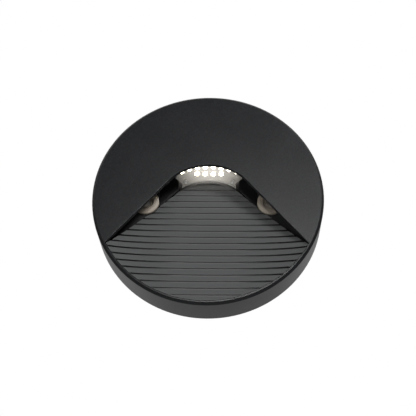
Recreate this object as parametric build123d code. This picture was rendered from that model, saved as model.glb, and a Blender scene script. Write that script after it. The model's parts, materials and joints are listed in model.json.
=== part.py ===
from build123d import *
import os
from math import cos, degrees, radians, sin, sqrt

# Round surface-mounted step light: a hooded cover over a ribbed ramp, lit from the throat under the hood.
# X points right, Z up and Y back to the wall. The origin is the centre of the back face, on the wall.
# Lengths named "out" are distances out from the wall, so a point at out h has Y = -h.
# From the top down: the driver chamber lies inside the rim, the lens frame hangs from the chamber, the hood's
# arch has its centre at the lens's arch, and the throat lies under the lens. A "drop" or "lift" is measured
# from the throat's highest point, and in the chamber from its lower edge.

# ---- overall ----
body_radius = 55.0
body_depth = 20.3
slip = 0.05                     # play round screws, bushes and other close fits
seat_gap = 0.1                  # gap between fixed pieces that lie side by side
cover_gap = 0.3                 # gap between the cover and what stands inside its opening
over = 1.0                      # how far cutting shapes run past a face

# ---- back gasket ----
gasket_thickness = 1.0
gasket_margin = 0.7             # how far it stays inside the body's edge
gasket_screw_hole_radius = 3.5

# ---- front cover ----
cover_wall = 1.7
cover_face = 1.8
cover_edge_chamfer = 1.2
cover_back_gap = 0.2
opening_arch_radius = 24.75
opening_side_angle = 48.8       # slope of the hood's straight edges, from horizontal
opening_edge_radius = 0.4
key_angle = 60.0                # place of the locating rib, from +X
key_out = 4.6                   # its lower end
key_width = 2.4
key_depth = 0.7
key_length = 3.4
key_play = 0.3

# ---- base casting ----
base_plate = 1.5
rim_gap = 0.9                   # between the rim and the cover's wall
rim_thickness = 2.6
rim_height = 5.5
wing_out = 11.5                 # floor beside the ramp
wing_wall = 1.5
wing_inner_x = 23.9
wing_top_lift = 0.6
wing_ramp_gap = 0.3

# ---- wall fixing ----
fixing_spacing = 60.0
fixing_drop = 13.4
fixing_hole_radius = 2.5
bush_barrel_radius = 4.0
bush_flange_radius = 6.4
bush_flange_thickness = 1.3
bush_edge_radius = 0.4
bush_boss_radius = 5.2

# ---- ribbed ramp ----
throat_half_width = 14.6
throat_drop = 5.54
throat_out = 6.5                # the ramp's face at the throat
ramp_side_angle = 45.4
ramp_plate = 1.6
ramp_wall = 1.5
rib_pitch = 3.475
rib_first_inset = 2.55          # lowest groove, from the ramp's lowest point
rib_groove_width = 0.9
rib_groove_depth_middle = 0.4
rib_groove_depth_side = 1.0
ramp_border = 0.4               # plain band along the lower arc
ramp_overrun = 1.0              # how far the face's surface is made past the ramp's lower arc
ramp_side_overrun = 1.2         # and past its lower corners
ramp_post_x = 20.0
ramp_post_drop = 41.4
ramp_post_radius = 3.0
ramp_post_cap = 1.0             # metal left over the blind screw hole

# ---- light source ----
light_seat = 1.9                # raised seat under the light source
pad_thickness = 0.2
board_thickness = 1.0
led_size = 3.0
led_height = 0.8
led_dome_radius = 1.2
led_dome_height = 0.2
led_pitch = 4.0
led_arc_inset = 3.9             # from the lens's arch to the arc of light sources under it
led_arc_radius = 34.0
led_row_gap = 3.9               # from there down to the straight row
led_row_count = 4
led_arc_count = 8
led_pocket_gap = 0.2
board_screw_x = 11.8
board_screw_lift = 0.9
tongue_left_x = -4.0
tongue_right_x = 2.6
tongue_root_drop = 9.3          # under the chamber's lower edge
tongue_top_lift = 5.8           # above it
tongue_slot_gap = 0.2

# ---- lens, its gasket and frame ----
lens_gasket_thickness = 0.6
lens_gasket_width = 1.4
lens_flange = 0.9
lens_flange_width = 1.6
lens_air_gap = 1.0              # between the light sources and the lens
lens_thickness = 1.5
lens_wall = 1.5
lens_top_radius = 35.0
lens_height = 13.0              # in the middle, over the throat
lens_flare_width = 2.8
lens_flare_drop = 0.4
lens_bevel = 1.9
reflector_thickness = 0.5
reflector_gap = 0.2
frame_half_width = 23.6
frame_band = 1.7                # band outside the lens flange at the top
frame_wall = 1.4
frame_plate = 1.8
frame_screw_x = 21.3
frame_screw_drop = 0.4
frame_boss_radius = 2.2

# ---- driver chamber ----
chamber_frame_gap = 0.3         # between the lens frame's top edge and the chamber
chamber_rim_gap = 1.6           # between the rim's outer edge and the chamber's
chamber_height = 20.8
chamber_wall = 1.5
lid_screw_gap = 1.4             # between the lid's screw heads and the cover
lid_gasket = 0.7
lid_thickness = 1.5
lid_corner_screw_lift = 3.3
lid_top_screw_x = 14.0
lid_boss_radius = 2.3

# ---- driver ----
driver_lid_gap = 1.1            # between the tallest component and the lid
driver_board_thickness = 1.2
driver_board_edge_gap = 5.3     # between the chamber's outer edge and the board's
driver_board_margin = 0.5       # beside the head of the low corner's screw
driver_board_right_x = -1.5
driver_board_lift = 2.2
driver_corner_screw_lift = 3.9
driver_top_screw_x = -4.2
driver_post_radius = 1.9
transformer_size = (8.6, 8.4, 5.4)
driver_gap = 0.25               # between one component and the next
transformer_lift = 8.6
transformer_core_wall = 1.4
bobbin_swell = 0.4              # how far the winding stands out of the core
bobbin_edge_radius = 0.7
capacitor_radius = 3.15
capacitor_height = 5.8
capacitor_edge_radius = 0.4
capacitor_lift = 7.6
choke_radius = 2.2
choke_height = 4.4
choke_waist_radius = 1.75
choke_cheek = 1.1               # thickness of its end discs
choke_lift = 4.8
chip_sizes = [(4.2, 1.6, 1.8), (3.0, 1.4, 1.2), (3.0, 1.6, 1.2)]
chip_places = [(-1.9, 3.3), (-8.1, 3.2), (3.3, 3.3)]   # from the transformer's middle, and lifts

# ---- terminal block and wires ----
terminal_left_x = 4.0
terminal_right_x = 18.0
terminal_low_lift = 3.5
terminal_high_lift = 12.5
terminal_lid_gap = 1.7
terminal_pole_lifts = (5.9, 10.1)
terminal_screw_inset = 3.2
terminal_groove_width = 0.8
wire_hole_radius = 1.1
wire_hole_drop = 3.9            # under the terminal block's face
lead_radius = 0.45
supply_lead_radius = 0.6
lead_bend_radius = 0.9
led_lead_start_x = 1.2
led_lead_end_x = -2.9
led_lead_lifts = (2.8, 4.2)
supply_lead_end_x = -3.0
lead_rise = 1.3                 # over the driver board

# ---- cable inlet ----
inlet_wall_gap = 0.2            # between the grommet's flange and the chamber's wall
inlet_lift = 7.0
inlet_cable_radius = 3.0
grommet_body_radius = 4.1
grommet_flange_radius = 5.0
grommet_flange = 0.9

# ---- cover seal and springs ----
seal_radius = 0.9
seal_out = 2.9
seal_gap = 0.25                 # between the seal and the cover's wall
seal_groove_play = 0.05
spring_angles = (20.0, 90.0, 160.0)
spring_thickness = 0.4
spring_width = 4.0
spring_foot = 4.0
spring_length = 14.5
spring_gap = 0.25               # between the spring's crown and the cover's wall
spring_tab_width = 17.0
spring_tab_height = 5.0
spring_tab_inset = 1.2          # flat under the spring, inside the rim's outer edge
spring_out = 9.0                # middle of the spring

# ---- screws: thread radius, head radius, head height, recess length ----
tiny_screw = (0.6, 1.0, 0.7, 1.1)
small_screw = (1.0, 1.6, 1.1, 2.2)
medium_screw = (1.25, 2.1, 1.5, 2.2)
ramp_screw_length = 7.0
lid_screw_length = 8.4
screw_floor = 0.5               # metal left under a blind screw hole
rivet_radius = 0.8
rivet_head_radius = 1.5
rivet_head_height = 0.5
rivet_tail_gap = 0.2
recess_width = 0.45
recess_depth = 0.65
head_edge_radius = 0.45

# ---- sizes worked out from those above ----
cover_inner_radius = body_radius - cover_wall
cover_inside_out = body_depth - cover_face
plate_out = gasket_thickness + base_plate
rim_radius = cover_inner_radius - rim_gap
rim_inner_radius = rim_radius - rim_thickness
rim_out = gasket_thickness + rim_height
ramp_radius = cover_inner_radius - cover_gap
seat_out = plate_out + light_seat
board_out = seat_out + pad_thickness
board_face_out = board_out + board_thickness
led_out = board_face_out + led_height
lens_seat_out = board_face_out + lens_gasket_thickness
lens_inside_out = led_out + lens_air_gap
lens_out = lens_inside_out + lens_thickness
frame_under_out = lens_seat_out + lens_flange
frame_out = frame_under_out + frame_plate
lid_out = cover_inside_out - lid_screw_gap - medium_screw[2]
lid_under_out = lid_out - lid_thickness
chamber_out = lid_under_out - lid_gasket
driver_face_out = lid_under_out - driver_lid_gap - capacitor_height
driver_board_out = driver_face_out - driver_board_thickness
terminal_out = lid_under_out - terminal_lid_gap
wire_hole_out = terminal_out - wire_hole_drop
bush_face_out = wing_out + bush_flange_thickness
lead_top_out = driver_face_out + lead_rise
spring_tab_flat = rim_radius - spring_tab_inset
screw_low = gasket_thickness + screw_floor
lid_screw_low = lid_out - lid_screw_length - seat_gap
frame_top_radius = lens_top_radius + lens_flange_width + frame_band
chamber_radius = rim_radius - chamber_rim_gap
chamber_floor_z = chamber_radius - chamber_height
arch_z = chamber_floor_z - chamber_frame_gap - frame_top_radius
led_top_z = arch_z + lens_top_radius - led_arc_inset
led_row_z = led_top_z - led_row_gap
throat_peak_z = arch_z + lens_top_radius - lens_height
throat_corner_z = throat_peak_z - throat_drop
throat_radius = (throat_half_width ** 2 + throat_drop ** 2) / (2 * throat_drop)
throat_centre_z = throat_peak_z - throat_radius
fixing_z = throat_peak_z - fixing_drop
wing_top_z = throat_peak_z + wing_top_lift
ramp_post_z = throat_peak_z - ramp_post_drop
rib_first_z = rib_first_inset - ramp_radius
board_screw_z = throat_peak_z + board_screw_lift
lens_flare_z = throat_peak_z - lens_flare_drop
frame_screw_z = throat_peak_z - frame_screw_drop
driver_board_radius = chamber_radius - driver_board_edge_gap
terminal_low_z = chamber_floor_z + terminal_low_lift
terminal_high_z = chamber_floor_z + terminal_high_lift
inlet_z = chamber_floor_z + inlet_lift
inlet_x = sqrt((chamber_radius - chamber_wall - grommet_flange_radius - inlet_wall_gap) ** 2 - inlet_z ** 2)
corner_screw_z = chamber_floor_z + driver_corner_screw_lift
corner_screw_x = -sqrt((driver_board_radius - small_screw[1]) ** 2 - corner_screw_z ** 2)
choke_x = corner_screw_x + small_screw[1] + driver_gap + choke_radius
choke_reach = choke_radius + driver_gap + capacitor_radius
capacitor_x = choke_x + sqrt(choke_reach ** 2 - (capacitor_lift - choke_lift) ** 2)
transformer_x = capacitor_x + capacitor_radius + driver_gap + bobbin_swell + transformer_size[0] / 2
far = 3 * body_radius           # reach of cutting shapes, past everything


# ---- helpers ----
def slab(outline, low, high):
    """A solid of a flat outline between two heights out from the wall."""
    return extrude(Plane.XZ.offset(low) * outline, amount=high - low)


def disc(radius, low, high, x=0.0, z=0.0):
    return slab(Pos(x, z) * Circle(radius), low, high)


def block(low_x, high_x, low_z, high_z, low, high):
    outline = Pos((low_x + high_x) / 2, (low_z + high_z) / 2) * Rectangle(high_x - low_x, high_z - low_z)
    return slab(outline, low, high)


def turned(shape, angle):
    """Carry a shape made at the top of the body to a place at this angle from +X."""
    return Rot(0, 90 - angle, 0) * shape


def both_sides(shape):
    return shape + mirror(shape, about=Plane.YZ)


def screw(kind, x, z, under_head, length):
    """A pan-head screw with a cross recess, its head facing out from the wall."""
    thread, head, height, recess = kind
    body = disc(thread, under_head - length, under_head, x, z)
    cap = disc(head, under_head, under_head + height, x, z)
    rim = cap.faces().sort_by(Axis.Y)[0].edges()
    cap = fillet(rim, head_edge_radius)
    top = under_head + height
    for width, tall in ((recess, recess_width), (recess_width, recess)):
        cap -= block(x - width / 2, x + width / 2, z - tall / 2, z + tall / 2, top - recess_depth, top + over)
    return body + cap


def save(name, *solids):
    shapes = []
    for solid in solids:
        shapes.extend(solid.solids())
    export_step(Compound(shapes), "parts/" + name + ".step")


# ---- outlines, seen from the front ----
def opening_outline():
    """Bell-shaped opening of the cover: an arch, two straight sides and the arc of the cover's wall."""
    angle = radians(opening_side_angle)
    tangent_x = opening_arch_radius * sin(angle)
    tangent_z = opening_arch_radius * cos(angle) + arch_z
    foot_x = tangent_x + far * cos(angle)
    foot_z = tangent_z - far * sin(angle)
    skirt = make_face(Polyline((-tangent_x, tangent_z), (tangent_x, tangent_z), (foot_x, foot_z),
                               (-foot_x, foot_z), close=True))
    arch = Pos(0, arch_z) * Circle(opening_arch_radius)
    return (skirt + arch) & Circle(cover_inner_radius)


def side_line(gap):
    """Start and foot of the ramp's right edge, moved outwards by a gap."""
    angle = radians(ramp_side_angle)
    start = (throat_half_width + gap * sin(angle), throat_corner_z + gap * cos(angle))
    foot = (start[0] + far * cos(angle), start[1] - far * sin(angle))
    return start, foot


def ramp_outline(inset):
    """Ramp seen from the front: a wedge under the throat's arc, inside the lower arc."""
    start, foot = side_line(-inset)
    wedge = make_face(Polyline((-start[0], start[1]), start, foot, (-foot[0], foot[1]), close=True))
    throat = Pos(0, throat_centre_z) * Circle(throat_radius - inset)
    wedge += throat & block_outline(-start[0], start[0], start[1], far)
    return wedge & Circle(ramp_radius - inset)


def block_outline(low_x, high_x, low_z, high_z):
    return Pos((low_x + high_x) / 2, (low_z + high_z) / 2) * Rectangle(high_x - low_x, high_z - low_z)


def lens_outline(inset, throat_inset):
    """Light window: the throat's arc below, upright sides that flare, and an arch at the top."""
    half = throat_half_width - inset
    flare_low = lens_flare_z - inset * (sqrt(2) - 1)
    flare_high = flare_low + lens_flare_width
    wide = half + lens_flare_width
    column = make_face(Polyline((-half, throat_centre_z), (half, throat_centre_z), (half, flare_low),
                                (wide, flare_high), (wide, far), (-wide, far), (-wide, flare_high),
                                (-half, flare_low), close=True))
    column &= Pos(0, arch_z) * Circle(lens_top_radius - inset)
    return column - Pos(0, throat_centre_z) * Circle(throat_radius + seat_gap + throat_inset)


def chamber_outline(inset):
    floor = block_outline(-far, far, chamber_floor_z + inset, far)
    return floor & Circle(chamber_radius - inset)


def lid_lobes():
    """Round lobes for the lid's screws, within the chamber."""
    lobes = Sketch() + [Pos(x, z) * Circle(lid_boss_radius) for x, z in lid_screw_places()]
    return lobes & chamber_outline(0)


def wing_outline(inset):
    """Raised floor to the right of the ramp, up to the rim."""
    start, foot = side_line(wing_ramp_gap + inset)
    slope = (foot[1] - start[1]) / (foot[0] - start[0])
    inner = wing_inner_x + inset
    edge_z = start[1] + slope * (inner - start[0])
    quarter = make_face(Polyline((inner, edge_z), foot, (far, wing_top_z - inset),
                                 (inner, wing_top_z - inset), close=True))
    return quarter & Circle(rim_inner_radius + rim_thickness / 2 - inset)


# ---- places that repeat ----
def led_places():
    """Middle and turn of each light source: the arc from left to right, then the row below it."""
    places = []
    step = degrees(led_pitch / led_arc_radius)
    for index in range(led_arc_count):
        angle = (index - (led_arc_count - 1) / 2) * step
        x = led_arc_radius * sin(radians(angle))
        z = led_top_z - led_arc_radius * (1 - cos(radians(angle)))
        places.append((x, z, -angle))
    for index in range(led_row_count):
        places.append(((index - (led_row_count - 1) / 2) * led_pitch, led_row_z, 0.0))
    return places


def edge_x(radius, z):
    """How far from the middle a circle about the origin is at this height."""
    return sqrt(radius ** 2 - z ** 2)


def lid_screw_places():
    """Two screws low at the sides of the chamber and two under its top edge, all beside its outer edge."""
    radius = chamber_radius - lid_boss_radius - seat_gap
    low = chamber_floor_z + lid_corner_screw_lift
    high = edge_x(radius, lid_top_screw_x)
    return [(-edge_x(radius, low), low), (edge_x(radius, low), low),
            (-lid_top_screw_x, high), (lid_top_screw_x, high)]


def driver_screw_places():
    """One screw in the board's low corner and one at its top edge."""
    high = edge_x(driver_board_radius - small_screw[1], driver_top_screw_x) - seat_gap
    return [(corner_screw_x, corner_screw_z), (driver_top_screw_x, high)]


def led_square(x, z, turn, gap=0.0):
    return Pos(x, z) * Rot(0, 0, turn) * Rectangle(led_size + 2 * gap, led_size + 2 * gap)


# ---- front cover ----
def make_front_cover():
    back = gasket_thickness + cover_back_gap
    shell = disc(body_radius, back, body_depth)
    shell = chamfer(shell.faces().sort_by(Axis.Y)[0].edges(), cover_edge_chamfer)
    shell -= disc(cover_inner_radius, back, cover_inside_out)
    shell -= slab(opening_outline(), cover_inside_out - over, body_depth + over)
    lip = []
    for edge in shell.edges():
        middle = edge.position_at(0.5)
        on_front = abs(middle.Y + body_depth) < slip
        if on_front and sqrt(middle.X ** 2 + middle.Z ** 2) < cover_inner_radius - over:
            lip.append(edge)
    shell = fillet(lip, opening_edge_radius)
    key = block(-key_width / 2, key_width / 2, cover_inner_radius - key_depth,
                cover_inner_radius + cover_wall / 2, key_out, key_out + key_length)
    return shell + turned(key, key_angle)


# ---- ramp ----
def ramp_face(drop_middle, drop_side, drop_throat):
    """Ruled surface from the lower arc, in the plane of the front, up to a straight line at the throat."""
    radius = ramp_radius + ramp_overrun
    side_x = ramp_corner()[0] + ramp_side_overrun
    side_z = -edge_x(radius, side_x)
    lower = ThreePointArc((-side_x, drop_side - body_depth, side_z), (0, drop_middle - body_depth, -radius),
                          (side_x, drop_side - body_depth, side_z))
    upper = Line((-side_x, drop_throat - throat_out, throat_peak_z),
                 (side_x, drop_throat - throat_out, throat_peak_z))
    return Face.make_surface_from_curves(lower.edge(), upper.edge())


def behind(face):
    """Everything from a surface back towards the wall."""
    return Solid.extrude(face, Vector(0, body_depth, 0))


def ramp_grooves():
    """Level grooves between the ribs, deeper towards the sides."""
    floor = behind(ramp_face(rib_groove_depth_middle, rib_groove_depth_side, rib_groove_depth_middle))
    bars = []
    height = rib_first_z
    while height < throat_peak_z - rib_groove_width:
        bars.append(block(-body_radius, body_radius, height - rib_groove_width / 2,
                          height + rib_groove_width / 2, 0, body_depth + over))
        height += rib_pitch
    return ((Part() + bars) & disc(ramp_radius - ramp_border, 0, body_depth + over)) - floor


def ramp_corner():
    """Point at which the ramp's right edge reaches the lower arc."""
    angle = radians(ramp_side_angle)
    along = throat_half_width * cos(angle) - throat_corner_z * sin(angle)
    rest = ramp_radius ** 2 - throat_half_width ** 2 - throat_corner_z ** 2
    travel = sqrt(along ** 2 + rest) - along
    return throat_half_width + travel * cos(angle), throat_corner_z - travel * sin(angle)


def make_ribbed_ramp():
    foot = plate_out + seat_gap
    bulk = slab(ramp_outline(0), foot, body_depth)
    pocket = slab(ramp_outline(ramp_wall), foot - over, body_depth)
    pocket &= behind(ramp_face(ramp_plate, ramp_plate, ramp_plate))
    ramp = (bulk & behind(ramp_face(0, 0, 0))) - pocket
    rim_ring = Circle(ramp_radius + over) - Circle(rim_inner_radius - cover_gap)
    rim_space = slab(rim_ring, 0, rim_out + seat_gap)
    ramp -= rim_space
    posts = both_sides(disc(ramp_post_radius, foot, body_depth, ramp_post_x, ramp_post_z))
    posts &= behind(ramp_face(ramp_plate / 2, ramp_plate / 2, ramp_plate / 2))
    ramp += posts
    ramp -= both_sides(disc(medium_screw[0] + slip, 0, gasket_thickness + ramp_screw_length + ramp_post_cap,
                            ramp_post_x, ramp_post_z))
    return ramp - ramp_grooves()


def make_ramp_screws():
    """Countersunk screws, put in from the back."""
    thread, head = medium_screw[:2]
    shank = disc(thread, gasket_thickness, gasket_thickness + ramp_screw_length, ramp_post_x, ramp_post_z)
    cone = countersink(head, thread, 0)
    return both_sides(shank + cone)


def countersink(head, thread, play):
    depth = head - thread
    cone = Cone(head + play, thread + play, depth, align=(Align.CENTER, Align.CENTER, Align.MIN))
    return Pos(ramp_post_x, -gasket_thickness, ramp_post_z) * Rot(90, 0, 0) * cone


# ---- base casting ----
def make_base_casting():
    back = gasket_thickness
    base = disc(rim_radius, back, plate_out)
    base += slab(Circle(rim_radius) - Circle(rim_inner_radius), back, rim_out)
    base += both_sides(slab(wing_outline(0), back, wing_out))
    base -= both_sides(slab(wing_outline(wing_wall), back - over, wing_out - wing_wall))
    base += both_sides(disc(bush_boss_radius, back, wing_out, fixing_spacing / 2, fixing_z))
    base += slab(lens_outline(-lens_flange_width / 2, seat_gap), back, seat_out)
    base += slab(chamber_outline(0), back, chamber_out)
    base -= slab(chamber_outline(chamber_wall), plate_out, chamber_out + over)
    for angle in spring_angles:
        base += turned(spring_tab(), angle)
    return base + base_bosses() - base_cuts()


def spring_tab():
    ring = Circle(rim_radius) - Circle(rim_inner_radius)
    flat = block_outline(-spring_tab_width / 2, spring_tab_width / 2, 0, spring_tab_flat)
    return slab(ring & flat, rim_out, rim_out + spring_tab_height)


def base_bosses():
    bosses = both_sides(disc(frame_boss_radius, plate_out, frame_under_out, frame_screw_x, frame_screw_z))
    bosses += slab(lid_lobes(), plate_out, chamber_out)
    for x, z in driver_screw_places():
        bosses += disc(driver_post_radius, plate_out, driver_board_out, x, z)
    return bosses


def base_cuts():
    """Seal groove, key notch, screw holes, bush holes, cable hole and the board's slot."""
    groove_floor = rim_radius + seal_proud() - 2 * seal_radius - 2 * seal_groove_play
    cuts = disc(far, seal_out - seal_radius - seal_groove_play, seal_out + seal_radius + seal_groove_play)
    cuts -= disc(groove_floor, 0, body_depth)
    notch = block(-key_width / 2 - key_play, key_width / 2 + key_play,
                  cover_inner_radius - key_depth - key_play, cover_inner_radius, key_out - key_play,
                  body_depth)
    cuts += turned(notch, key_angle)
    cuts += both_sides(disc(bush_barrel_radius + slip, 0, body_depth, fixing_spacing / 2, fixing_z))
    cuts += both_sides(disc(medium_screw[0] + slip, 0, plate_out + over, ramp_post_x, ramp_post_z)
                       + countersink(medium_screw[1], medium_screw[0], slip))
    cuts += both_sides(disc(tiny_screw[0] + slip, screw_low, body_depth, board_screw_x, board_screw_z))
    cuts += both_sides(disc(medium_screw[0] + slip, screw_low, body_depth,
                            frame_screw_x, frame_screw_z))
    for x, z in lid_screw_places():
        cuts += disc(medium_screw[0] + slip, lid_screw_low, body_depth, x, z)
    for x, z in driver_screw_places():
        cuts += disc(small_screw[0] + slip, plate_out, body_depth, x, z)
    cuts += disc(grommet_body_radius + slip, 0, plate_out + over, inlet_x, inlet_z)
    cuts += block(tongue_left_x - tongue_slot_gap, tongue_right_x + tongue_slot_gap,
                  chamber_floor_z - over, chamber_floor_z + chamber_wall + over,
                  board_out - tongue_slot_gap, board_face_out + tongue_slot_gap)
    for angle in spring_angles:
        cuts += turned(rivet_hole(), angle)
    return cuts


def seal_proud():
    """How far the seal stands out of the rim."""
    return rim_gap - seal_gap


def rivet_hole():
    return rivet_shank(rivet_radius + slip, rim_inner_radius - over, body_radius)


def rivet_shank(radius, low, high):
    shank = Cylinder(radius, high - low, align=(Align.CENTER, Align.CENTER, Align.MIN))
    return Pos(rivet_x(), -spring_out, low) * shank


def rivet_x():
    return (spring_foot - spring_length) / 2


# ---- wall-screw bushes ----
def make_fixing_bush(x):
    barrel = disc(bush_barrel_radius, gasket_thickness + cover_back_gap, wing_out, x, fixing_z)
    flange = disc(bush_flange_radius, wing_out, bush_face_out, x, fixing_z)
    flange = fillet(flange.faces().sort_by(Axis.Y)[0].edges(), bush_edge_radius)
    return barrel + flange - disc(fixing_hole_radius, 0, body_depth, x, fixing_z)


# ---- light source ----
def tongue_outline():
    return block_outline(tongue_left_x, tongue_right_x, chamber_floor_z - tongue_root_drop,
                         chamber_floor_z + tongue_top_lift)


def make_led_board():
    board = slab(lens_outline(-lens_flange_width, 0) + tongue_outline(), board_out, board_face_out)
    return board - both_sides(disc(tiny_screw[0] + slip, 0, body_depth, board_screw_x, board_screw_z))


def make_thermal_pad():
    pad = slab(lens_outline(-lens_flange_width / 2, seat_gap), seat_out, board_out)
    return pad - both_sides(disc(tiny_screw[0] + 2 * seat_gap, 0, body_depth, board_screw_x, board_screw_z))


def make_led(x, z, turn):
    package = slab(led_square(x, z, turn), board_face_out, led_out - led_dome_height)
    return package + disc(led_dome_radius, led_out - led_dome_height, led_out, x, z)


def make_reflector():
    inset = lens_wall + reflector_gap
    tray = slab(lens_outline(inset, inset), board_face_out, board_face_out + reflector_thickness)
    for x, z, turn in led_places():
        tray -= slab(led_square(x, z, turn, led_pocket_gap), 0, body_depth)
    screw_room = disc(tiny_screw[1] + reflector_gap, 0, body_depth, board_screw_x, board_screw_z)
    return tray - both_sides(screw_room)


def make_lens_gasket():
    outer = lens_outline(-lens_flange_width + seat_gap, 0)
    return slab(outer - lens_outline(lens_gasket_width - seat_gap, lens_gasket_width - seat_gap),
                board_face_out, lens_seat_out)


def make_lens():
    cap = slab(lens_outline(0, 0), lens_seat_out, lens_out)
    lowest = [edge for edge in cap.faces().sort_by(Axis.Y)[0].edges()
              if edge.geom_type == GeomType.CIRCLE and edge.position_at(0.5).Z < led_row_z]
    cap = chamfer(lowest, lens_bevel)
    cap += slab(lens_outline(-lens_flange_width + seat_gap, 0), lens_seat_out, frame_under_out)
    return cap - slab(lens_outline(lens_wall, lens_wall), 0, lens_inside_out)


def frame_outline(inset):
    """Black frame round the lens, down to the ramp's edges."""
    start, foot = side_line(wing_ramp_gap + inset)
    half = frame_half_width - inset
    slope = (foot[1] - start[1]) / (foot[0] - start[0])
    edge_z = start[1] + slope * (half - start[0])
    body = make_face(Polyline((-start[0], start[1]), (start[0], start[1]), (half, edge_z), (half, far),
                              (-half, far), (-half, edge_z), close=True))
    body &= Pos(0, arch_z) * Circle(frame_top_radius - inset)
    return body - Pos(0, throat_centre_z) * Circle(throat_radius + seat_gap + inset)


def make_lens_frame():
    foot = plate_out + seat_gap
    frame = slab(frame_outline(0), foot, frame_out)
    frame -= slab(frame_outline(frame_wall), foot - over, frame_under_out)
    frame -= slab(lens_outline(-lens_flange_width - seat_gap, -over), foot - over, frame_under_out)
    frame -= slab(lens_outline(-seat_gap, -over), foot - over, frame_out + over)
    frame -= slab(offset(tongue_outline(), amount=tongue_slot_gap), foot - over,
                  board_face_out + tongue_slot_gap)
    frame -= both_sides(disc(frame_boss_radius + slip, 0, frame_under_out, frame_screw_x, frame_screw_z))
    frame -= both_sides(disc(medium_screw[0] + slip, 0, body_depth, frame_screw_x, frame_screw_z))
    return frame


# ---- driver chamber ----
def lid_screw_holes():
    return Part() + [disc(medium_screw[0] + 2 * slip, 0, body_depth, x, z) for x, z in lid_screw_places()]


def make_lid_gasket():
    ring = chamber_outline(0) - chamber_outline(chamber_wall) + lid_lobes()
    return slab(ring, chamber_out, lid_under_out) - lid_screw_holes()


def make_lid():
    return slab(chamber_outline(0), lid_under_out, lid_out) - lid_screw_holes()


def make_driver_board():
    left = corner_screw_x - small_screw[1] - driver_board_margin
    outline = block_outline(left, driver_board_right_x, chamber_floor_z + driver_board_lift, body_radius)
    board = slab(outline & Circle(driver_board_radius), driver_board_out, driver_face_out)
    for x, z in driver_screw_places():
        board -= disc(small_screw[0] + slip, 0, body_depth, x, z)
    return board


def make_transformer():
    """Core of two cheeks and a base, with a wound bobbin between them."""
    width, height, rise = transformer_size
    x, z = transformer_x, chamber_floor_z + transformer_lift
    low = driver_face_out
    core = block(x - width / 2, x + width / 2, z - height / 2, z + height / 2, low, low + rise)
    window = block(x - width, x + width, z - height / 2 + transformer_core_wall,
                   z + height / 2 - transformer_core_wall, low + transformer_core_wall,
                   low + rise - transformer_core_wall)
    half = width / 2 + bobbin_swell
    bobbin = block(x - half, x + half, z - height / 2 + transformer_core_wall,
                   z + height / 2 - transformer_core_wall, low + transformer_core_wall,
                   low + rise - transformer_core_wall)
    return (core - window) + fillet(bobbin.edges().filter_by(Axis.X), bobbin_edge_radius)


def make_capacitor():
    can = disc(capacitor_radius, driver_face_out, driver_face_out + capacitor_height, capacitor_x,
               chamber_floor_z + capacitor_lift)
    return fillet(can.faces().sort_by(Axis.Y)[0].edges(), capacitor_edge_radius)


def make_choke():
    x, z = choke_x, chamber_floor_z + choke_lift
    spool = disc(choke_radius, driver_face_out, driver_face_out + choke_height, x, z)
    waist = disc(choke_radius + over, driver_face_out + choke_cheek,
                 driver_face_out + choke_height - choke_cheek, x, z)
    waist -= disc(choke_waist_radius, 0, body_depth, x, z)
    return spool - waist


def make_chips():
    chips = []
    for (width, height, rise), (across, lift) in zip(chip_sizes, chip_places):
        x, z = transformer_x + across, chamber_floor_z + lift
        chips.append(block(x - width / 2, x + width / 2, z - height / 2, z + height / 2,
                           driver_face_out, driver_face_out + rise))
    return chips


# ---- terminal block ----
def terminal_screw_places():
    columns = (terminal_left_x + terminal_screw_inset, terminal_right_x - terminal_screw_inset)
    return [(x, chamber_floor_z + lift) for x in columns for lift in terminal_pole_lifts]


def make_terminal_block():
    body = block(terminal_left_x, terminal_right_x, terminal_low_z, terminal_high_z, plate_out, terminal_out)
    middle_x = (terminal_left_x + terminal_right_x) / 2
    for lift in terminal_pole_lifts:
        hole = Cylinder(wire_hole_radius, terminal_right_x - terminal_left_x + 2 * over)
        body -= Pos(middle_x, -wire_hole_out, chamber_floor_z + lift) * Rot(0, 90, 0) * hole
    under = terminal_out - small_screw[2]
    for x, z in terminal_screw_places():
        body -= disc(small_screw[1] + slip, under - slip, body_depth, x, z)
        body -= disc(small_screw[0] + slip, wire_hole_out, body_depth, x, z)
    middle_z = chamber_floor_z + sum(terminal_pole_lifts) / 2
    return body - block(terminal_left_x - over, terminal_right_x + over, middle_z - terminal_groove_width / 2,
                        middle_z + terminal_groove_width / 2, under, body_depth)


def make_terminal_screws():
    under = terminal_out - small_screw[2]
    length = under - wire_hole_out - supply_lead_radius - slip
    return [screw(small_screw, x, z, under, length) for x, z in terminal_screw_places()]


# ---- wires held inside the chamber ----
def wire(points, radius):
    path = FilletPolyline(*points, radius=lead_bend_radius)
    start = Plane(origin=path @ 0, z_dir=path % 0)
    return sweep(start * Circle(radius), path=path)


def make_led_lead(lift):
    z = chamber_floor_z + lift
    top = -lead_top_out
    return wire([(led_lead_start_x, -board_face_out, z), (led_lead_start_x, top, z),
                 (led_lead_end_x, top, z), (led_lead_end_x, -driver_face_out, z)], lead_radius)


def make_supply_lead(lift):
    z = chamber_floor_z + lift
    inside = terminal_left_x + terminal_screw_inset + wire_hole_radius
    return wire([(inside, -wire_hole_out, z), (supply_lead_end_x, -wire_hole_out, z),
                 (supply_lead_end_x, -driver_face_out, z)], supply_lead_radius)


# ---- cable inlet ----
def make_cable_grommet():
    body = disc(grommet_body_radius, gasket_thickness, plate_out, inlet_x, inlet_z)
    body += disc(grommet_flange_radius, gasket_thickness - grommet_flange, gasket_thickness, inlet_x, inlet_z)
    body += disc(grommet_flange_radius, plate_out, plate_out + grommet_flange, inlet_x, inlet_z)
    return body - disc(inlet_cable_radius, 0, body_depth, inlet_x, inlet_z)


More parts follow.
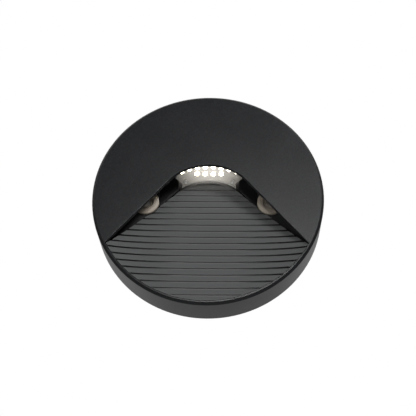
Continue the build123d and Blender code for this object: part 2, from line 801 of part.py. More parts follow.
def make_back_gasket():
    pad = disc(body_radius - gasket_margin, 0, gasket_thickness)
    pad -= both_sides(disc(gasket_screw_hole_radius, -over, body_depth, fixing_spacing / 2, fixing_z))
    return pad - disc(grommet_flange_radius + seat_gap, -over, body_depth, inlet_x, inlet_z)


# ---- seal and springs ----
def make_cover_seal():
    major = rim_radius + seal_proud() - seal_radius
    return Pos(0, -seal_out, 0) * Rot(90, 0, 0) * Torus(major, seal_radius)


def make_cover_spring():
    """Leaf spring, riveted at one end and bowed out to the cover's wall."""
    left = -spring_length / 2
    bend = left + spring_foot
    right = spring_length / 2
    low = spring_tab_flat
    high = low + spring_thickness
    crown = cover_inner_radius - spring_gap
    middle = (bend + right) / 2
    outer = ThreePointArc((bend, high), (middle, crown), (right, high))
    inner = ThreePointArc((right, low), (middle, crown - spring_thickness), (bend, low))
    strip = make_face(Curve() + [outer, Line((right, high), (right, low)), inner,
                                 Line((bend, low), (left, low)), Line((left, low), (left, high)),
                                 Line((left, high), (bend, high))])
    leaf = slab(strip, spring_out - spring_width / 2, spring_out + spring_width / 2)
    return leaf - rivet_hole()


def make_rivet():
    under = spring_tab_flat + spring_thickness
    shank = rivet_shank(rivet_radius, rim_inner_radius + rivet_tail_gap, under)
    return shank + rivet_shank(rivet_head_radius, under, under + rivet_head_height)


def main():
    os.makedirs("parts", exist_ok=True)
    half = fixing_spacing / 2
    save("front_cover", make_front_cover())
    save("ribbed_ramp", make_ribbed_ramp())
    save("ramp_screws", make_ramp_screws())
    save("base_casting", make_base_casting())
    save("fixing_bush_left", make_fixing_bush(-half))
    save("fixing_bush_right", make_fixing_bush(half))
    save("led_board", make_led_board())
    save("thermal_pad", make_thermal_pad())
    for number, (x, z, turn) in enumerate(led_places(), start=1):
        save("led_" + str(number), make_led(x, z, turn))
    save("led_board_screws", both_sides(screw(tiny_screw, board_screw_x, board_screw_z, board_face_out,
                                              board_face_out - screw_low - seat_gap)))
    save("reflector", make_reflector())
    save("lens_gasket", make_lens_gasket())
    save("lens", make_lens())
    save("lens_frame", make_lens_frame())
    save("lens_frame_screws", both_sides(screw(medium_screw, frame_screw_x, frame_screw_z, frame_out,
                                               frame_out - screw_low - seat_gap)))
    save("driver_lid_gasket", make_lid_gasket())
    save("driver_lid", make_lid())
    save("driver_lid_screws", *[screw(medium_screw, x, z, lid_out, lid_screw_length)
                                for x, z in lid_screw_places()])
    save("driver_board", make_driver_board())
    save("driver_board_screws", *[screw(small_screw, x, z, driver_face_out,
                                        driver_face_out - plate_out - seat_gap)
                                  for x, z in driver_screw_places()])
    save("driver_transformer", make_transformer())
    save("driver_capacitor", make_capacitor())
    save("driver_choke", make_choke())
    save("driver_chips", *make_chips())
    save("terminal_block", make_terminal_block())
    save("terminal_screws", *make_terminal_screws())
    save("supply_lead_live", make_supply_lead(terminal_pole_lifts[0]))
    save("supply_lead_neutral", make_supply_lead(terminal_pole_lifts[1]))
    save("led_lead_plus", make_led_lead(led_lead_lifts[0]))
    save("led_lead_minus", make_led_lead(led_lead_lifts[1]))
    save("cable_grommet", make_cable_grommet())
    save("back_gasket", make_back_gasket())
    save("cover_seal", make_cover_seal())
    for number, angle in enumerate(spring_angles, start=1):
        save("cover_spring_" + str(number), turned(make_cover_spring(), angle))
    save("spring_rivets", *[turned(make_rivet(), angle) for angle in spring_angles])


main()
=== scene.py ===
import json
import math

import bmesh
import bpy
from mathutils import Matrix, Vector


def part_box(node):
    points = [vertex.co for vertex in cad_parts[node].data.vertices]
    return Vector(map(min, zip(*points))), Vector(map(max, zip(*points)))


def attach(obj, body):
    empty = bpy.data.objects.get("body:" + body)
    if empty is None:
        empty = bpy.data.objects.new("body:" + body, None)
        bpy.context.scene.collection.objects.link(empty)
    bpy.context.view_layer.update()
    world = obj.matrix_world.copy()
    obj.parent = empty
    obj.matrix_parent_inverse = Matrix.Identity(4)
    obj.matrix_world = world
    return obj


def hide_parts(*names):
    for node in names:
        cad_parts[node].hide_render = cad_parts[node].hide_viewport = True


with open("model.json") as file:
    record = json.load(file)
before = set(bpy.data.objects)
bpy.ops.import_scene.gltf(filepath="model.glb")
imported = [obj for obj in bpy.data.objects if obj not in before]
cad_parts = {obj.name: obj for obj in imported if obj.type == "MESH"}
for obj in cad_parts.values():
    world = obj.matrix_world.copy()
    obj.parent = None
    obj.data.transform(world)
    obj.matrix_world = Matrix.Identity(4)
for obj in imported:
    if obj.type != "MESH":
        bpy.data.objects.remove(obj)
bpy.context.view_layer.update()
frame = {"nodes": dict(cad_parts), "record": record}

MM = 0.001                      # named sizes are in millimetres and named angles in degrees


# ---- node helpers ----
def add(tree, kind, inputs=None, **settings):
    """Add a shader node, set its settings and fill its inputs with values or with other nodes' outputs."""
    made = tree.nodes.new(kind)
    for name, value in settings.items():
        setattr(made, name, value)
    for socket, value in (inputs or {}).items():
        if isinstance(value, bpy.types.NodeSocket):
            tree.links.new(value, made.inputs[socket])
        else:
            made.inputs[socket].default_value = value
    return made


def sums(tree, operation, *values, clamp=False):
    """Result of one sum on numbers or on other nodes' outputs."""
    made = add(tree, "ShaderNodeMath", dict(enumerate(values)), operation=operation, use_clamp=clamp)
    return made.outputs[0]


def spread(tree, value, low, high, from_low=0.0, from_high=1.0):
    """Carry a value between two limits over to two others."""
    made = add(tree, "ShaderNodeMapRange",
               {"Value": value, "From Min": from_low, "From Max": from_high, "To Min": low, "To Max": high})
    return made.outputs["Result"]


def tint(tree, factor, first, second):
    """Mix of two colours: the first at a factor of zero, the second at one."""
    made = add(tree, "ShaderNodeMix", data_type="RGBA")
    for socket, value in ((0, factor), (6, first), (7, second)):
        if isinstance(value, bpy.types.NodeSocket):
            tree.links.new(value, made.inputs[socket])
        else:
            made.inputs[socket].default_value = value if socket == 0 else (*value, 1)
    return made.outputs[2]


def group(name, inputs, outputs):
    """An empty shader node group with named number inputs and outputs."""
    tree = bpy.data.node_groups.new(name, "ShaderNodeTree")
    for label, value in inputs.items():
        socket = tree.interface.new_socket(label, in_out="INPUT", socket_type="NodeSocketFloat")
        socket.default_value = value
    for label in outputs:
        tree.interface.new_socket(label, in_out="OUTPUT", socket_type="NodeSocketFloat")
    return tree, tree.nodes.new("NodeGroupInput"), tree.nodes.new("NodeGroupOutput")


def place(tree, shared, **values):
    """Use a shared group with some of its inputs set; an underscore stands for a space."""
    made = add(tree, "ShaderNodeGroup", node_tree=shared)
    for label, value in values.items():
        made.inputs[label.replace("_", " ")].default_value = value
    return made


def position(tree):
    """Place on the object, in metres."""
    return add(tree, "ShaderNodeTexCoord").outputs["Object"]


def noise_scale(tree, size):
    """Scale of a noise whose cells have this size."""
    return sums(tree, "DIVIDE", 1 / MM, size)


# ---- effects that several finishes share ----
def make_powder_grain():
    """Orange peel and fine grit of a moulded or powder-coated skin."""
    tree, given, out = group("powder grain", {"Peel Size": 0.9, "Grit Size": 0.16, "Grit Share": 0.4},
                             ("Height", "Speck"))
    where = position(tree)
    peel_scale = noise_scale(tree, given.outputs["Peel Size"])
    grit_scale = noise_scale(tree, given.outputs["Grit Size"])
    peel = add(tree, "ShaderNodeTexNoise", {"Vector": where, "Scale": peel_scale, "Detail": 2.0})
    grit = add(tree, "ShaderNodeTexNoise", {"Vector": where, "Scale": grit_scale, "Detail": 1.0})
    low = sums(tree, "MULTIPLY", peel.outputs[0], sums(tree, "SUBTRACT", 1.0, given.outputs["Grit Share"]))
    high = sums(tree, "MULTIPLY", grit.outputs[0], given.outputs["Grit Share"])
    tree.links.new(sums(tree, "ADD", low, high), out.inputs["Height"])
    tree.links.new(spread(tree, grit.outputs[0], 0.0, 1.0, 0.35, 0.65), out.inputs["Speck"])
    return tree


def make_handling():
    """Broad soft patches where a surface has been touched, wiped or rained on."""
    tree, given, out = group("handling", {"Patch Size": 22.0}, ("Patch",))
    scale = noise_scale(tree, given.outputs["Patch Size"])
    patch = add(tree, "ShaderNodeTexNoise",
                {"Vector": position(tree), "Scale": scale, "Detail": 3.0, "Distortion": 0.4})
    tree.links.new(spread(tree, patch.outputs[0], 0.0, 1.0, 0.3, 0.7), out.inputs["Patch"])
    return tree


def make_edge_wear():
    """Mask of the edges, broken up, where a coat is thin or rubbed."""
    tree, given, out = group("edge wear", {"Width": 0.4, "Break Size": 2.0}, ("Mask",))
    where = position(tree)
    radius = sums(tree, "MULTIPLY", given.outputs["Width"], MM)
    rounded = add(tree, "ShaderNodeBevel", {"Radius": radius}, samples=4)
    plain = add(tree, "ShaderNodeNewGeometry").outputs["Normal"]
    facing = add(tree, "ShaderNodeVectorMath", {0: rounded.outputs[0], 1: plain}, operation="DOT_PRODUCT")
    edge = spread(tree, facing.outputs["Value"], 1.0, 0.0, 0.75, 0.985)
    scale = noise_scale(tree, given.outputs["Break Size"])
    breaks = add(tree, "ShaderNodeTexNoise", {"Vector": where, "Scale": scale, "Detail": 3.0})
    patchy = spread(tree, breaks.outputs[0], 0.25, 1.0, 0.4, 0.62)
    tree.links.new(sums(tree, "MULTIPLY", edge, patchy, clamp=True), out.inputs["Mask"])
    return tree


def make_brushing():
    """Fine lines of turned or drawn metal."""
    tree, given, out = group("brushing", {"Line Size": 0.08}, ("Line",))
    where = position(tree)
    stretch = add(tree, "ShaderNodeMapping", {"Vector": where, "Scale": (0.06, 1.0, 1.0)})
    scale = noise_scale(tree, given.outputs["Line Size"])
    line = add(tree, "ShaderNodeTexNoise", {"Vector": stretch.outputs[0], "Scale": scale, "Detail": 2.0})
    tree.links.new(line.outputs[0], out.inputs["Line"])
    return tree


grain = make_powder_grain()
handling = make_handling()
edge_wear = make_edge_wear()
brushing = make_brushing()


def blank(name):
    """A new finish and its Principled shader."""
    made = bpy.data.materials.new(name)
    made.use_nodes = True
    return made, made.node_tree, made.node_tree.nodes["Principled BSDF"]


# ---- finishes ----
GROOVE_FIRST = -50.45           # height of the ramp's lowest groove
GROOVE_PITCH = 3.475
GROOVE_WIDTH = 0.9
GROOVE_BLUR = 0.05              # share of a groove's half width over which its tint ends, each way
GROOVE_LIGHT_FULL = 14.0         # painted light this far each way from the middle, gone at the next distance
GROOVE_LIGHT_END = 24.0
GROOVE_DARK_FULL = 34.0         # painted shade grows outwards from where the painted light starts to fade, and is full here
GROOVE_PAINTED_LIGHT = (0.1, 0.1, 0.099)
GROOVE_PAINTED_SHADE = (0.012, 0.012, 0.012)


def groove_painted_light_and_shade(tree, colour):
    """Grooves of the ramp: painted light lightens their shallow middle, and painted shade darkens their deep
    ends.
    """
    where = add(tree, "ShaderNodeSeparateXYZ", {0: position(tree)}).outputs
    turns = sums(tree, "DIVIDE", sums(tree, "SUBTRACT", where["Z"], GROOVE_FIRST * MM), GROOVE_PITCH * MM)
    off_groove = sums(tree, "ABSOLUTE", sums(tree, "SUBTRACT", turns, sums(tree, "ROUND", turns)))
    reach = GROOVE_WIDTH / GROOVE_PITCH / 2
    inside = spread(tree, off_groove, 1.0, 0.0, reach * (1 - GROOVE_BLUR), reach * (1 + GROOVE_BLUR))
    aside = sums(tree, "ABSOLUTE", where["X"])
    middle = spread(tree, aside, 1.0, 0.0, GROOVE_LIGHT_FULL * MM, GROOVE_LIGHT_END * MM)
    ends = spread(tree, aside, 0.0, 1.0, GROOVE_LIGHT_FULL * MM, GROOVE_DARK_FULL * MM)
    groove_lit_middle = tint(tree, sums(tree, "MULTIPLY", inside, middle), colour, GROOVE_PAINTED_LIGHT)
    return tint(tree, sums(tree, "MULTIPLY", inside, ends), groove_lit_middle, GROOVE_PAINTED_SHADE)


PATCH_SHARE = 0.3               # how much of the lighter patches and of the worn specks shows
SPECK_SHARE = 0.18
GRAIN_DEPTH = 0.1
LIP_HIGHLIGHT_FADE = 2.0                 # past its reach, the painted highlight on the edges ends over this distance


def painted(name, colour, worn_and_highlight, rough, peel, grit, bump, sheen=0.3, wear=0.4, wear_and_highlight_share=0.5,
            lip_highlight_reach=None, painted_groove_shading=False):
    """Powder coat or moulded skin with grain, soft patches and worn edges; a reach keeps the lighter edges to
    it as a painted highlight.
    """
    made, tree, skin = blank(name)
    coat = place(tree, grain, Peel_Size=peel, Grit_Size=grit)
    touch = place(tree, handling)
    edges = place(tree, edge_wear, Width=wear)
    lighter = tuple(min(1.0, c * 1.25 + 0.001) for c in colour)
    mottled = tint(tree, sums(tree, "MULTIPLY", touch.outputs["Patch"], PATCH_SHARE), colour, lighter)
    specked = tint(tree, sums(tree, "MULTIPLY", coat.outputs["Speck"], SPECK_SHARE), mottled, worn_and_highlight)
    rubbed_and_highlight = sums(tree, "MULTIPLY", edges.outputs["Mask"], wear_and_highlight_share)
    # with a reach, the lighter edges are a painted highlight round the cover's lip, not wear
    if lip_highlight_reach:
        off_middle = add(tree, "ShaderNodeVectorMath", {0: position(tree)}, operation="LENGTH")
        limits = (lip_highlight_reach * MM, (lip_highlight_reach + LIP_HIGHLIGHT_FADE) * MM)
        lip_highlight_zone = spread(tree, off_middle.outputs["Value"], 1.0, 0.0, *limits)
        rubbed_and_highlight = sums(tree, "MULTIPLY", rubbed_and_highlight, lip_highlight_zone)
    skin_colour = tint(tree, rubbed_and_highlight, specked, worn_and_highlight)
    # painted light and painted shade in the ramp's grooves
    if painted_groove_shading:
        skin_colour = groove_painted_light_and_shade(tree, skin_colour)
    tree.links.new(skin_colour, skin.inputs["Base Color"])
    blotch = spread(tree, touch.outputs["Patch"], rough - 0.015, rough + 0.02)
    tree.links.new(sums(tree, "SUBTRACT", blotch, sums(tree, "MULTIPLY", edges.outputs["Mask"], 0.1)),
                   skin.inputs["Roughness"])
    relief = add(tree, "ShaderNodeBump", {"Height": coat.outputs["Height"], "Strength": bump,
                                          "Distance": GRAIN_DEPTH * MM})
    tree.links.new(relief.outputs[0], skin.inputs["Normal"])
    skin.inputs["Specular IOR Level"].default_value = sheen
    return made


def metal(name, colour, rough, line=0.08):
    """Bare drawn metal with fine lines and duller patches."""
    made, tree, skin = blank(name)
    lines = place(tree, brushing, Line_Size=line)
    touch = place(tree, handling, Patch_Size=6.0)
    duller = tuple(c * 0.75 for c in colour)
    tree.links.new(tint(tree, touch.outputs["Patch"], colour, duller), skin.inputs["Base Color"])
    tree.links.new(spread(tree, lines.outputs["Line"], rough - 0.08, rough + 0.12), skin.inputs["Roughness"])
    relief = add(tree, "ShaderNodeBump", {"Height": lines.outputs["Line"], "Strength": 0.15,
                                          "Distance": 0.02 * MM})
    tree.links.new(relief.outputs[0], skin.inputs["Normal"])
    skin.inputs["Metallic"].default_value = 1.0
    return made


LENS_IOR = 1.1                  # lower than that of a real clear plastic
GLOW_STRENGTH = 0.3             # painted glow: emission from each skin of the lens that stands in for the light it scatters, brightest over the light sources
GLOW_HALF_WIDTH = 9.8           # to half of it, each way from the middle
GLOW_LOW = 9.0                  # it fades from the upper height to nothing at the lower one
GLOW_HIGH = 18.8
GLOW_COLOUR = (1.0, 0.95, 0.88)


def clear_glass():
    """Clear moulded window, a little uneven, with a weak painted glow of its own and no shadow but a faint
    tint.
    """
    made, tree, skin = blank("clear lens")
    ripple = place(tree, grain, Peel_Size=3.0, Grit_Size=0.3, Grit_Share=0.1)
    touch = place(tree, handling, Patch_Size=8.0)
    relief = add(tree, "ShaderNodeBump", {"Height": ripple.outputs["Height"], "Strength": 0.08,
                                          "Distance": 0.05 * MM})
    tree.links.new(relief.outputs[0], skin.inputs["Normal"])
    tree.links.new(spread(tree, touch.outputs["Patch"], 0.03, 0.06), skin.inputs["Roughness"])
    skin.inputs["Base Color"].default_value = (0.95, 0.95, 0.93, 1)
    skin.inputs["Transmission Weight"].default_value = 1.0
    skin.inputs["IOR"].default_value = LENS_IOR
    where = add(tree, "ShaderNodeSeparateXYZ", {0: position(tree)}).outputs
    aside = sums(tree, "DIVIDE", sums(tree, "ABSOLUTE", where["X"]), GLOW_HALF_WIDTH * MM)
    bell = sums(tree, "POWER", 0.5, sums(tree, "POWER", aside, 2.0))
    fade = spread(tree, where["Z"], 0.0, 1.0, GLOW_LOW * MM, GLOW_HIGH * MM)
    glow = sums(tree, "MULTIPLY", bell, fade, clamp=True)
    tree.links.new(tint(tree, glow, (0.0, 0.0, 0.0), GLOW_COLOUR), skin.inputs["Emission Color"])
    skin.inputs["Emission Strength"].default_value = GLOW_STRENGTH
    rays = add(tree, "ShaderNodeLightPath")
    through = add(tree, "ShaderNodeBsdfTransparent", {"Color": (0.9, 0.9, 0.88, 1)})
    mixed = add(tree, "ShaderNodeMixShader", {0: rays.outputs["Is Shadow Ray"], 1: skin.outputs[0],
                                              2: through.outputs[0]})
    tree.links.new(mixed.outputs[0], tree.nodes["Material Output"].inputs["Surface"])
    return made


def glowing(name, colour, strength):
    """Phosphor dome of a light source."""
    made, tree, skin = blank(name)
    cells = place(tree, grain, Peel_Size=0.5, Grit_Size=0.08)
    warm = tint(tree, cells.outputs["Speck"], colour, (1.0, 0.93, 0.78))
    tree.links.new(warm, skin.inputs["Emission Color"])
    skin.inputs["Base Color"].default_value = (0.9, 0.8, 0.45, 1)
    skin.inputs["Emission Strength"].default_value = strength
    skin.inputs["Roughness"].default_value = 0.3
    return made


finishes = {
    # the lighter edges within 50 mm of the middle are a painted highlight along the lip of the opening
    "cover_paint": painted("cover paint", (0.0038, 0.0042, 0.0052), (0.1, 0.102, 0.105), rough=0.3,
                           peel=0.9, grit=0.17, bump=0.15, sheen=0.2, wear=0.6, wear_and_highlight_share=1.0,
                           lip_highlight_reach=50.0),
    # the ramp's grooves carry painted light in their middle and painted shade at their ends
    "ramp_paint": painted("ramp paint", (0.068, 0.07, 0.071), (0.12, 0.12, 0.12), rough=0.5, peel=0.8,
                          grit=0.15, bump=0.3, sheen=0.2, wear=0.3, painted_groove_shading=True),
    "casting_paint": painted("casting paint", (0.02, 0.0205, 0.0205), (0.07, 0.07, 0.068), rough=0.55,
                             peel=1.1, grit=0.2, bump=0.35, sheen=0.15),
    "frame_black": painted("frame plastic", (0.006, 0.006, 0.0065), (0.03, 0.03, 0.03), rough=0.42,
                           peel=0.6, grit=0.12, bump=0.2, sheen=0.15, wear=0.25),
    "bush_nylon": painted("bush nylon", (0.3, 0.26, 0.21), (0.42, 0.37, 0.3), rough=0.45, peel=0.7,
                          grit=0.14, bump=0.2, sheen=0.4, wear=0.3),
    "reflector_white": painted("reflector plastic", (0.25, 0.24, 0.225), (0.35, 0.34, 0.32), rough=0.35,
                               peel=0.6, grit=0.1, bump=0.1, sheen=0.5),
    "board_white": painted("board mask white", (0.7, 0.7, 0.68), (0.8, 0.8, 0.78), rough=0.35, peel=0.5,
                           grit=0.1, bump=0.15, sheen=0.5),
    "board_green": painted("board mask green", (0.02, 0.14, 0.06), (0.06, 0.22, 0.1), rough=0.35,
                           peel=0.5, grit=0.1, bump=0.15, sheen=0.5),
    "led_package": painted("light package", (0.3, 0.29, 0.26), (0.4, 0.39, 0.36), rough=0.4, peel=0.3,
                           grit=0.08, bump=0.1, sheen=0.4, wear=0.1),
    "pad_grey": painted("heat pad", (0.3, 0.31, 0.32), (0.4, 0.4, 0.42), rough=0.8, peel=0.4, grit=0.1,
                        bump=0.4, sheen=0.2),
    "seal_rubber": painted("seal rubber", (0.012, 0.012, 0.012), (0.035, 0.035, 0.034), rough=0.75,
                           peel=0.5, grit=0.12, bump=0.4, sheen=0.2, wear=0.2),
    "capacitor_sleeve": painted("capacitor sleeve", (0.02, 0.02, 0.04), (0.06, 0.06, 0.09), rough=0.3,
                                peel=0.5, grit=0.1, bump=0.1, sheen=0.5),
    "chip_black": painted("chip epoxy", (0.015, 0.015, 0.015), (0.04, 0.04, 0.04), rough=0.6, peel=0.3,
                          grit=0.06, bump=0.4, sheen=0.3, wear=0.1),
    "transformer_core": painted("ferrite", (0.045, 0.043, 0.042), (0.1, 0.1, 0.1), rough=0.65, peel=0.4,
                                grit=0.1, bump=0.5, sheen=0.3),
    "terminal_plastic": painted("terminal plastic", (0.6, 0.6, 0.57), (0.72, 0.72, 0.7), rough=0.4,
                                peel=0.5, grit=0.1, bump=0.2, sheen=0.4),
    "lead_brown": painted("brown lead", (0.11, 0.05, 0.025), (0.2, 0.1, 0.06), rough=0.45, peel=0.4,
                          grit=0.1, bump=0.2, sheen=0.4),
    "lead_blue": painted("blue lead", (0.02, 0.08, 0.3), (0.06, 0.15, 0.42), rough=0.45, peel=0.4,
                         grit=0.1, bump=0.2, sheen=0.4),
    "lead_red": painted("red lead", (0.4, 0.02, 0.015), (0.5, 0.08, 0.06), rough=0.45, peel=0.4, grit=0.1,
                        bump=0.2, sheen=0.4),
    "lead_black": painted("black lead", (0.012, 0.012, 0.012), (0.04, 0.04, 0.04), rough=0.45, peel=0.4,
                          grit=0.1, bump=0.2, sheen=0.4),
    "screw_steel": metal("screw steel", (0.62, 0.62, 0.63), rough=0.3),
    "spring_steel": metal("spring steel", (0.66, 0.66, 0.68), rough=0.26, line=0.05),
    "terminal_brass": metal("terminal brass", (0.75, 0.58, 0.28), rough=0.3),
    "lens_clear": clear_glass(),
}

slots = {part["node"]: part["material_slot"] for part in frame["record"]["subparts"]}
for node, solid in frame["nodes"].items():
    solid.data.materials.clear()
    solid.data.materials.append(finishes[slots[node]])


# ---- forms ----
MERGE_DISTANCE = 1e-6
SHARP_ANGLE = 35


def add_block(form, low, high, bevel, finish=0):
    """A block between two corners, its edges rounded."""
    known = set(form.faces)
    verts = bmesh.ops.create_cube(form, size=1.0)["verts"]
    bmesh.ops.scale(form, verts=verts, vec=[b - a for a, b in zip(low, high)])
    bmesh.ops.translate(form, verts=verts, vec=[(a + b) / 2 for a, b in zip(low, high)])
    edges = list({edge for vert in verts for edge in vert.link_edges})
    bmesh.ops.bevel(form, geom=edges, offset=bevel, segments=2, profile=0.5, affect="EDGES", material=-1)
    for face in set(form.faces) - known:
        face.material_index = finish


def add_turned(form, profile, finish, steps=32):
    """A form turned about the axis out from the wall, from pairs of radius and height."""
    known = set(form.faces)
    verts = [form.verts.new((radius, -height, 0)) for radius, height in profile]
    edges = [form.edges.new(pair) for pair in zip(verts, verts[1:])]
    bmesh.ops.spin(form, geom=verts + edges, cent=(0, 0, 0), axis=(0, 1, 0), angle=2 * math.pi, steps=steps,
                   use_merge=True)
    for face in set(form.faces) - known:
        face.material_index = finish
        face.smooth = True
    bmesh.ops.remove_doubles(form, verts=form.verts, dist=MERGE_DISTANCE)


def make_piece(name, form, finish, node, body):
    """A mesh piece from a form in metres, in place of a CAD node."""
    bmesh.ops.recalc_face_normals(form, faces=form.faces)
    sheet = bpy.data.meshes.new(name)
    form.to_mesh(sheet)
    form.free()
    for each in finish:
        sheet.materials.append(each)
    made = bpy.data.objects.new(name, sheet)
    bpy.context.collection.objects.link(made)
    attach(made, body)
    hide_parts(node)
    return made


# ---- light sources ----
ARC_Z = -11.5                   # height of the centre of the arc on which the first eight lie
ARC_COUNT = 8
SOURCE_COUNT = 12
PACKAGE_HALF = 1.5
PACKAGE_TRIM = 0.1              # the package ends this far inside its pads
PACKAGE_RIM = 0.22
PACKAGE_FLOOR = 0.14            # how far the floor inside the rim lies below the rim's top
PACKAGE_EDGE = 0.05
RIM_DEPTH = 0.2
PAD_HALF_LENGTH = 1.0
PAD_WIDTH = 0.3
PAD_THICKNESS = 0.2
PAD_EDGE = 0.04
DOME_RADIUS = 1.0
DOME_HEIGHT = 0.2               # above the rim's top; its foot and the start of its curve lie below that
DOME_FOOT = 0.2
DOME_CURVE = 0.1
DOME_STEPS = 7

phosphor = glowing("phosphor", (1.0, 0.96, 0.88), strength=60.0)


def make_light_source(number):
    """Square package on two pads, with a raised rim round a glowing dome."""
    node = "led_" + str(number)
    low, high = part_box(node)
    middle = (low + high) / 2
    turn = math.atan2(middle.x, middle.z - ARC_Z * MM) if number <= ARC_COUNT else 0.0
    back, top = -high.y / MM, -low.y / MM - DOME_HEIGHT
    half, rim, tall = PACKAGE_HALF, PACKAGE_HALF - PACKAGE_RIM, PACKAGE_HALF - PACKAGE_TRIM
    form = bmesh.new()
    add_block(form, (-half, PACKAGE_FLOOR - top, -tall), (half, -back, tall), PACKAGE_EDGE)
    for side in (-1, 1):
        ends = sorted((side * half, side * rim))
        add_block(form, (ends[0], -top, -tall), (ends[1], RIM_DEPTH - top, tall), PACKAGE_EDGE)
        ends = sorted((side * tall, side * (rim - PACKAGE_TRIM)))
        add_block(form, (-rim, -top, ends[0]), (rim, RIM_DEPTH - top, ends[1]), PACKAGE_EDGE)
        ends = sorted((side * half, side * (half - PAD_WIDTH)))
        add_block(form, (-PAD_HALF_LENGTH, -back - PAD_THICKNESS, ends[0]), (PAD_HALF_LENGTH, -back, ends[1]),
                  PAD_EDGE, finish=2)
    dome = [(DOME_RADIUS, top - DOME_FOOT)]
    for step in range(DOME_STEPS + 1):
        angle = math.radians(step * 90 / DOME_STEPS)
        rise = (DOME_HEIGHT + DOME_CURVE) * math.sin(angle)
        dome.append((DOME_RADIUS * math.cos(angle), top - DOME_CURVE + rise))
    add_turned(form, dome, finish=1)
    bmesh.ops.scale(form, verts=form.verts, vec=(MM, MM, MM))
    bmesh.ops.rotate(form, verts=form.verts, cent=(0, 0, 0), matrix=Matrix.Rotation(turn, 3, "Y"))
    bmesh.ops.translate(form, verts=form.verts, vec=(middle.x, 0, middle.z))
    finish = (finishes["led_package"], phosphor, finishes["screw_steel"])
    make_piece("light_source_" + str(number), form, finish, node, "base")


for number in range(1, SOURCE_COUNT + 1):
    make_light_source(number)


# ---- wall-screw bushes ----
BUSH_HOLE = 2.25                # radius, 0.25 less than the hole of the CAD's bush
BUSH_RING = 3.7                 # inner edge of the ring that shows
BUSH_SLOPE = 0.5                # width of the slope from that edge down to the dish
BUSH_LIP = 0.1                  # its upper edge is eased by this, and its steep part ends at the next depth
BUSH_LIP_DEPTH = 0.3
BUSH_DISH = 1.0
BUSH_FLANGE = 1.3
BUSH_BARREL = 4.0
BUSH_ROUND = 0.35               # rounding of the flange's outer edge, through a point this far in and down
BUSH_ROUND_POINT = (0.1, 0.12)


def make_bush(node):
    """Turned bush with a dished face round the screw's hole."""
    low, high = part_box(node)
    middle = (low + high) / 2
    back, face = -high.y / MM, -low.y / MM
    flange = (high.x - low.x) / 2 / MM
    dish = [(BUSH_HOLE, face - BUSH_DISH), (BUSH_RING - BUSH_SLOPE, face - BUSH_DISH),
            (BUSH_RING - BUSH_LIP, face - BUSH_LIP_DEPTH), (BUSH_RING, face - BUSH_LIP),
            (BUSH_RING + BUSH_LIP, face)]
    rim = [(flange - BUSH_ROUND, face), (flange - BUSH_ROUND_POINT[0], face - BUSH_ROUND_POINT[1]),
           (flange, face - BUSH_ROUND), (flange, face - BUSH_FLANGE)]
    barrel = [(BUSH_BARREL, face - BUSH_FLANGE), (BUSH_BARREL, back), (BUSH_HOLE, back)]
    form = bmesh.new()
    add_turned(form, [(BUSH_HOLE, back)] + dish + rim + barrel, finish=0, steps=64)
    bmesh.ops.scale(form, verts=form.verts, vec=(MM, MM, MM))
    bmesh.ops.translate(form, verts=form.verts, vec=(middle.x, 0, middle.z))
    name = node.replace("fixing", "dished")
    piece = make_piece(name, form, (finishes["bush_nylon"],), node, "base")
    piece.data.set_sharp_from_angle(angle=math.radians(SHARP_ANGLE))


make_bush("fixing_bush_left")
make_bush("fixing_bush_right")


# ---- studio ----
STAGE_HALF = 6.0                # metres
STAGE_COLOUR = (0.85, 0.85, 0.85, 1)
LAMP_DISTANCE = 0.8             # metres


def soft_lamp(name, azimuth, elevation, size, power):
    """A square soft box round the front of the object, aimed at it; azimuth runs to the right."""
    across, up = math.radians(azimuth), math.radians(elevation)
    aim = Vector((math.sin(across) * math.cos(up), -math.cos(across) * math.cos(up), math.sin(up)))
    stand_at = LAMP_DISTANCE * aim
    lamp = bpy.data.lights.new(name, "AREA")
    lamp.size = size
    lamp.energy = power
    stand = bpy.data.objects.new(name, lamp)
    stand.location = stand_at
    stand.rotation_euler = (-stand_at).to_track_quat("-Z", "Y").to_euler()
    bpy.context.collection.objects.link(stand)


def seen(tree, *kinds):
    """One where the ray is of one of these kinds."""
    rays = add(tree, "ShaderNodeLightPath")
    share = rays.outputs[kinds[0]]
    for kind in kinds[1:]:
        share = sums(tree, "MAXIMUM", share, rays.outputs[kind])
    return share


def make_world(strength):
    """Even room light, and white where the camera looks past the object."""
    world = bpy.data.worlds.new("studio")
    world.use_nodes = True
    tree = world.node_tree
    room = tree.nodes["Background"]
    room.inputs["Strength"].default_value = strength
    room.inputs["Color"].default_value = (1, 1, 1, 1)
    white = add(tree, "ShaderNodeBackground", {"Color": (1, 1, 1, 1), "Strength": 1.0})
    mixed = add(tree, "ShaderNodeMixShader", {0: seen(tree, "Is Camera Ray", "Is Transmission Ray"),
                                              1: room.outputs[0], 2: white.outputs[0]})
    tree.links.new(mixed.outputs[0], tree.nodes["World Output"].inputs["Surface"])
    bpy.context.scene.world = world


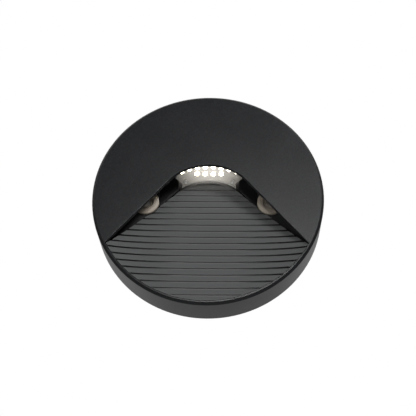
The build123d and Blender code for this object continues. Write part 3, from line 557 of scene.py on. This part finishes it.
def make_stage(name, move, matrix, shown, mirrored, lit):
    """A large pale sheet that shines by itself, less so in reflections; a lit one takes lamp light too."""
    form = bmesh.new()
    bmesh.ops.create_grid(form, x_segments=1, y_segments=1, size=STAGE_HALF)
    bmesh.ops.rotate(form, verts=form.verts, cent=(0, 0, 0), matrix=matrix)
    bmesh.ops.translate(form, verts=form.verts, vec=move)
    sheet = bpy.data.meshes.new(name)
    form.to_mesh(sheet)
    form.free()
    made = bpy.data.objects.new(name, sheet)
    bpy.context.collection.objects.link(made)
    finish, tree, skin = blank(name)
    skin.inputs["Base Color"].default_value = STAGE_COLOUR
    skin.inputs["Roughness"].default_value = 0.9
    skin.inputs["Specular IOR Level"].default_value = 0.0
    level = spread(tree, seen(tree, "Is Camera Ray", "Is Transmission Ray"), mirrored, shown)
    last = add(tree, "ShaderNodeEmission", {"Strength": level})
    if lit:
        last = add(tree, "ShaderNodeAddShader", {0: skin.outputs[0], 1: last.outputs[0]})
    tree.links.new(last.outputs[0], tree.nodes["Material Output"].inputs["Surface"])
    sheet.materials.append(finish)


CAMERA_FRONT = -19.2            # the point that it turns about lies this far along Y
CAMERA_ASIDE = 1.691
CAMERA_ABOVE = -26.701
CAMERA_TURN = -1.1
CAMERA_DISTANCE = 0.44          # metres
CAMERA_LENS = 80.21
CAMERA_SENSOR = 36
CAMERA_SHIFT = (0.00074, -0.02945)


def make_camera():
    """Seen from below and a touch to the right, with the object turned slightly in the picture."""
    centre = Vector((0, CAMERA_FRONT * MM, 0))
    aside, above, turn = (math.radians(each) for each in (CAMERA_ASIDE, CAMERA_ABOVE, CAMERA_TURN))
    back = Vector((math.sin(aside) * math.cos(above), -math.cos(aside) * math.cos(above), math.sin(above)))
    right = Vector((math.cos(aside), math.sin(aside), 0))
    axes = Matrix((right, back.cross(right), back)).transposed().to_4x4()
    lens = bpy.data.cameras.new("camera")
    lens.sensor_width = CAMERA_SENSOR
    lens.lens = CAMERA_LENS
    lens.shift_x, lens.shift_y = CAMERA_SHIFT
    lens.clip_start, lens.clip_end = 0.01, 50
    eye = bpy.data.objects.new("camera", lens)
    seat = Matrix.Translation(back * CAMERA_DISTANCE) @ axes
    eye.matrix_world = Matrix.Translation(centre) @ Matrix.Rotation(turn, 4, "Y") @ seat
    bpy.context.collection.objects.link(eye)
    bpy.context.scene.camera = eye


make_world(strength=0.02)
upright = Matrix.Rotation(math.radians(90), 3, "X")
make_stage("studio_floor", (0, 0, -1.0), Matrix.Identity(3), shown=0.65, mirrored=0.05, lit=True)
make_stage("studio_back", (0, 0.5, 5.0), upright, shown=1.0, mirrored=0.52, lit=False)
soft_lamp("key", azimuth=30, elevation=26, size=0.2, power=4.0)
soft_lamp("fill", azimuth=-40, elevation=0, size=0.3, power=1.4)
soft_lamp("glint", azimuth=2, elevation=15, size=0.12, power=1.65)
make_camera()
bpy.context.scene.view_settings.view_transform = "Standard"
